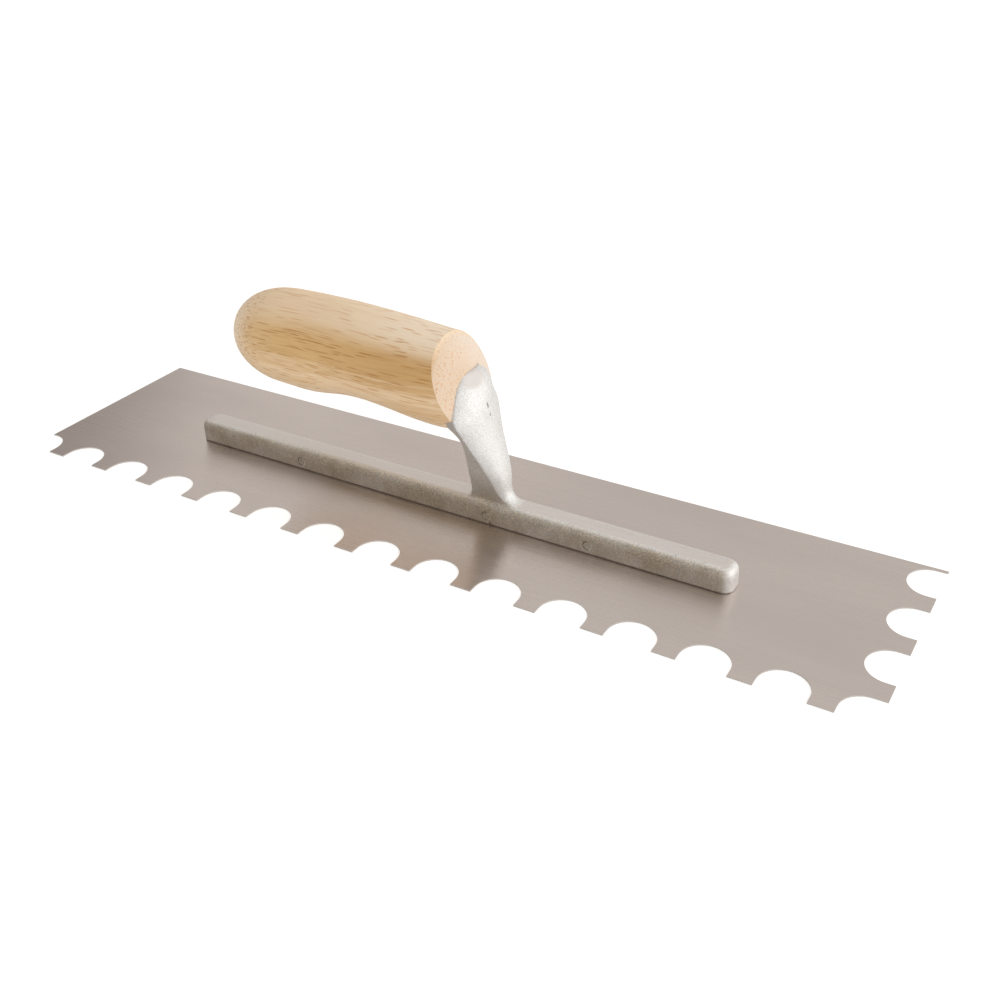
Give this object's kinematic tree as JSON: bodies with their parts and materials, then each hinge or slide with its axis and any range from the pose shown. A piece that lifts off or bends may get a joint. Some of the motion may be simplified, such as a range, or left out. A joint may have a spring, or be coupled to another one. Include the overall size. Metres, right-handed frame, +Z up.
{
  "type": "notched trowel",
  "caption": "Flat rectangular steel blade with U-shaped notches along one long and one short edge, a cast aluminium mounting along its middle and a rounded wooden handle above it.",
  "frame": {"origin": "centre of the blade's underside", "axes": "+X along the blade towards its notched short edge, notched long edge at -Y, +Z up"},
  "size_m": [0.4064, 0.1, 0.0852],
  "materials": {
    "blade_steel": "brushed along the blade",
    "cast_aluminium": "blasted casting, top of the bar linished",
    "rivet_steel": "ground flush with the blade",
    "handle_wood": "sanded, clear lacquer",
    "bolt_steel": "zinc plated",
    "washer_steel": "zinc plated"
  },
  "bodies": {
    "root": {"blade": "blade_steel", "mounting": "cast_aluminium", "blade_rivets": "rivet_steel", "handle": "handle_wood", "handle_bolt": "bolt_steel", "handle_washer": "washer_steel"}
  },
  "joints": []
}
